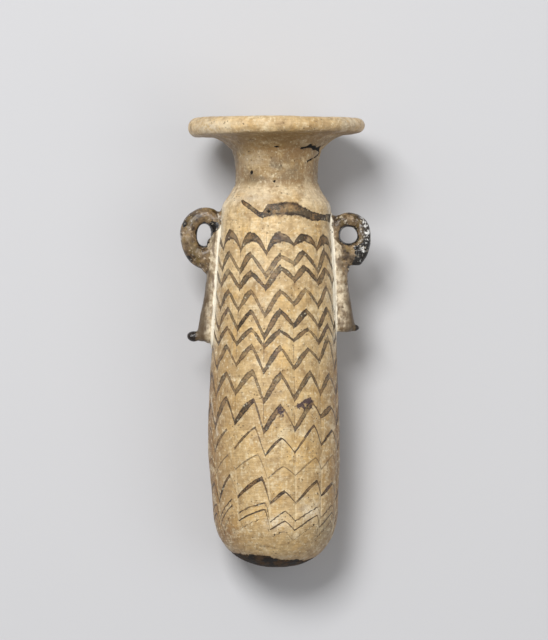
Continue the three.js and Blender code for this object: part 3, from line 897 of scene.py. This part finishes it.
def handle(name, size, on_right):
    """Ring, tail, weld, knob and a few melted blobs, melted into one skin by a voxel remesh, roughened by
    lumps along its normals, and set on its side."""
    loop = ring(size)
    if on_right:
        broken = loop[..., 0] > BREAK_REACH
        floor_at = RING_HEIGHT - BREAK_DROP
        loop[..., 1] = np.where(broken, np.maximum(loop[..., 1], floor_at), loop[..., 1])
    shapes = [(loop, True), (tail(size), False), (weld(size), False), (knob(size), False)]
    shapes += [(blob(*place), False) for place in size["blobs"]]
    points, faces = np.zeros((0, 3)), []
    for shape, round_trip in shapes:
        new_points, new_faces = grid_mesh(shape, round_trip, len(points))
        points = np.vstack([points, new_points])
        faces += new_faces
    rough_cast = new_piece(name + "_cast", points, faces)
    melt = rough_cast.modifiers.new("melt", "REMESH")
    melt.mode = "VOXEL"
    melt.voxel_size = VOXEL
    soften = rough_cast.modifiers.new("soften", "SMOOTH")
    soften.factor = 0.5
    soften.iterations = 9
    softened = rough_cast.evaluated_get(bpy.context.evaluated_depsgraph_get())
    melted = bpy.data.meshes.new_from_object(softened)
    bpy.data.objects.remove(rough_cast)
    skin = np.zeros(len(melted.vertices) * 3, np.float32)
    melted.vertices.foreach_get("co", skin)
    normals = np.zeros_like(skin)
    melted.vertices.foreach_get("normal", normals)
    corners = np.zeros(len(melted.loops), np.int32)
    melted.loops.foreach_get("vertex_index", corners)
    skin, normals = skin.reshape(-1, 3).astype(float), normals.reshape(-1, 3).astype(float)
    seed = 40 if on_right else 30
    rise = COARSE_RISE * lumps(skin, COARSE_LUMP, seed) + FINE_RISE * lumps(skin, FINE_LUMP, seed + 1)
    skin = skin + normals * (rise - SKIN_SUNK)[:, None]
    shaped = skin if on_right else skin * (-1, 1, -1)
    piece = new_piece(name, laid_down(lean(shaped)), corners.reshape(-1, 4).tolist())
    bpy.data.meshes.remove(melted)
    out = skin[:, 0] - body_radius(skin[:, 1])
    end = RING_HEIGHT - size["tail_drop"]
    store(piece, "out", out)
    by_ring = smooth(skin[:, 1], RING_HEIGHT - RING_FROM, RING_HEIGHT - RING_TO)
    # Where the painted shade on the crust's outer edge begins, further out beside the ring
    store(piece, "edge", out - size["edge_shade_from"] - EDGE_SHADE_BY_RING * by_ring)
    crust_reach = THIN_REACH + FULL_REACH * smooth(skin[:, 1], *size["thin_crust"])
    above_slope = skin[:, 1] + CRUST_SLOPE * out - size["crust_top"]
    above_crust = np.minimum(above_slope, CRUST_CLIFF * (out - crust_reach))
    for *spot, reach in size["bald"]:
        above_crust += BALDNESS * np.exp(-np.sum((shaped - spot) ** 2, 1) / reach**2)
    store(piece, "above_crust", above_crust)
    past_tail = smooth(out, size["tail_proud"] - BARE_FROM, size["tail_proud"] + BARE_TO)
    store(piece, "bare", past_tail * (skin[:, 1] < end + BARE_UP))
    black = np.zeros(len(skin))
    for *spot, reach in size["black"]:
        black += np.exp(-np.sum((shaped - spot) ** 2, 1) / reach**2)
    hole_at = ring_middle(size)
    hole_wide = size["reach"] - size["thickness"] - hole_at
    hole_tall = (size["tall"] - size["thickness"]) / 2
    from_hole = np.hypot((skin[:, 0] - hole_at) / hole_wide, (skin[:, 1] - RING_HEIGHT) / hole_tall)
    # Painted shade blackens the ring round its hole, on top of the black places
    store(piece, "black", black + HOLE_SHADE * smooth(from_hole, HOLE_SHADE_FROM, HOLE_SHADE_TO))
    store(piece, "dark", smooth(skin[:, 0], *size["dark_from"]))
    return piece


def brown_glass():
    """Brown glass, mottled taupe to black with olive where it is thin; pale crust lies over the tail and
    along the weld, and the knob's tip stays bare and black. Painted highlights lie on it as specks,
    glints and a bright seam line, and painted shade darkens the crust's outer edge, the ring round its
    hole and the left ring's outer edge."""
    material, tree, spot, worn = weathered("brown_glass")
    out = kept(tree, "out")
    dark = kept(tree, "dark")
    mottle = ease(tree, worn["Mottle"], 0.2, 0.8)
    drifts = ease(tree, noise(tree, spot, 3.6, 4, 0.6), 0.4, 0.62)
    glass = mixed(tree, drifts, tint(146, 122, 90), tint(54, 39, 25))
    glass = laid_over(tree, glass, mottle, tint(56, 42, 30), 0.5)
    olive = ease(tree, noise(tree, spot, 3, 3), 0.5, 0.62)
    glass = laid_over(tree, glass, olive, tint(138, 114, 62), 0.35)
    # The dark band: black glass on the right ring's outer side, and painted shade along the left ring's
    # outer edge
    glass = laid_over(tree, glass, dark, tint(26, 19, 12), 0.92)
    # Black places, and the painted shade round the hole that the black attribute carries
    black = calc(tree, "ADD", noise(tree, spot, 1.8, 4, 0.65), kept(tree, "black"))
    black = ease(tree, black, 0.63, 0.71)
    glass = laid_over(tree, glass, black, tint(24, 19, 14))
    # Painted highlights: small bright specks on the glass
    highlight_specks = ease(tree, noise(tree, spot, 1.3, 4, 0.7), 0.58, 0.66)
    glass = laid_over(tree, glass, highlight_specks, tint(224, 212, 190), 0.6)
    # Painted glints on the dark glass
    painted_glints = calc(tree, "MULTIPLY", ease(tree, noise(tree, spot, 2.0, 4, 0.7), 0.53, 0.6), dark)
    glass = laid_over(tree, glass, painted_glints, tint(232, 230, 226))
    torn = calc(tree, "MULTIPLY_ADD", noise(tree, spot, 2.4, 4, 0.7), 14.0, -7.0)
    torn = calc(tree, "ADD", torn, calc(tree, "MULTIPLY_ADD", noise(tree, spot, 6, 2), 16.0, -8.0))
    below = ease(tree, calc(tree, "ADD", kept(tree, "above_crust"), torn), 1.0, -1.0)
    clear = calc(tree, "SUBTRACT", 1.0, kept(tree, "bare"))
    crust = calc(tree, "MULTIPLY", below, clear)
    pale = mixed(tree, worn["Mottle"], tint(222, 206, 176), tint(136, 114, 84))
    golden = ease(tree, noise(tree, spot, 2.4, 4, 0.6), 0.54, 0.7, 0.0, 0.5)
    pale = laid_over(tree, pale, golden, tint(176, 142, 92))
    streaks = ease(tree, noise(tree, stretched(tree, spot, 3.0, 1.0), 5, 4, 0.65), 0.48, 0.6, 0.0, 0.8)
    pale = laid_over(tree, pale, streaks, tint(104, 84, 60))
    # Painted shade: the crust darkens toward its outer edge, where the tail rounds away
    torn = calc(tree, "MULTIPLY_ADD", noise(tree, spot, 3, 3), 3.0, -1.5)
    shaded_edge = calc(tree, "ADD", kept(tree, "edge"), torn)
    pale = laid_over(tree, pale, ease(tree, shaded_edge, 0.0, 2.5, 0.0, 0.9), tint(84, 66, 44))
    # Painted highlight: a bright line along the seam where the tail meets the body
    seam_highlight = calc(tree, "ADD", out, calc(tree, "MULTIPLY_ADD", noise(tree, spot, 2, 3), 0.8, -0.4))
    seam_highlight = ease(tree, seam_highlight, 0.5, 0.0)
    pale = laid_over(tree, pale, seam_highlight, tint(250, 240, 218))
    colour = mixed(tree, crust, glass, pale)
    colour = laid_over(tree, colour, kept(tree, "bare"), tint(36, 28, 22))
    colour = laid_over(tree, colour, worn["Pinholes"], tint(44, 33, 22), 0.7)
    rough = ease(tree, crust, 0.0, 1.0, 0.15, 0.42)
    finished(tree, colour, rough, worn["Height"], 0.00025)
    return material


brown = brown_glass()
for name, size, on_right in (("left_ring", LEFT, False), ("right_ring", RIGHT, True)):
    piece = handle(name, size, on_right)
    piece.data.materials.append(brown)
    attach(piece, "root")
    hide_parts(name.replace("ring", "handle"))


# Floor, light and camera
# A plain pale floor, two large soft lamps and a dim sky. The camera looks squarely at the flask's front
# from far off, so it leans by the tilt at which the flask lies.

FLOOR_SIZE = 3.0
corners = [(x * FLOOR_SIZE, y * FLOOR_SIZE, 0) for x, y in ((-1, -1), (1, -1), (1, 1), (-1, 1))]
floor = new_piece("floor", corners, [(0, 1, 2, 3)])
paper = bpy.data.materials.new("floor_paper")
paper.use_nodes = True
paper.node_tree.nodes["Principled BSDF"].inputs["Base Color"].default_value = tint(196, 196, 198)
paper.node_tree.nodes["Principled BSDF"].inputs["Roughness"].default_value = 0.9
floor.data.materials.append(paper)


def lamp(name, place, width, power):
    """A square soft lamp that faces the floor under the flask's middle."""
    light = bpy.data.lights.new(name, "AREA")
    light.shape = "SQUARE"
    light.size = width
    light.energy = power
    thing = bpy.data.objects.new(name, light)
    thing.location = place
    thing.rotation_euler = thing.location.to_track_quat("Z", "Y").to_euler()
    bpy.context.collection.objects.link(thing)


lamp("key_lamp", (-0.27, 0.42, 1.0), 0.4, 11.0)
lamp("fill_lamp", (0.6, -0.1, 0.8), 0.6, 1.8)
world = bpy.data.worlds.new("studio")
world.use_nodes = True
world.node_tree.nodes["Background"].inputs["Color"].default_value = (1, 1, 1, 1)
world.node_tree.nodes["Background"].inputs["Strength"].default_value = 0.35
bpy.context.scene.world = world
bpy.context.scene.view_settings.view_transform = "Standard"

PHOTO_WIDTH, PHOTO_HEIGHT = 548, 640
MM_PER_PIXEL = 0.288
AXIS_PIXEL, POLE_PIXEL = 275.5, 567.0
DISTANCE = 1670.0
SENSOR = 36.0
seen_from = np.array([
    (PHOTO_WIDTH / 2 - AXIS_PIXEL) * MM_PER_PIXEL,
    (POLE_PIXEL - PHOTO_HEIGHT / 2) * MM_PER_PIXEL,
    DISTANCE,
])
x, y, z = seen_from
camera = bpy.data.objects.new("camera", bpy.data.cameras.new("camera"))
camera.location = (
    (x + PLACE[0]) * 0.001,
    (y * math.cos(TILT) - z * math.sin(TILT) + PLACE[1]) * 0.001,
    (y * math.sin(TILT) + z * math.cos(TILT) + PLACE[2]) * 0.001,
)
camera.rotation_euler = (TILT, 0, 0)
camera.data.sensor_width = SENSOR
camera.data.lens = SENSOR * DISTANCE / (PHOTO_HEIGHT * MM_PER_PIXEL)
bpy.context.collection.objects.link(camera)
bpy.context.scene.camera = camera
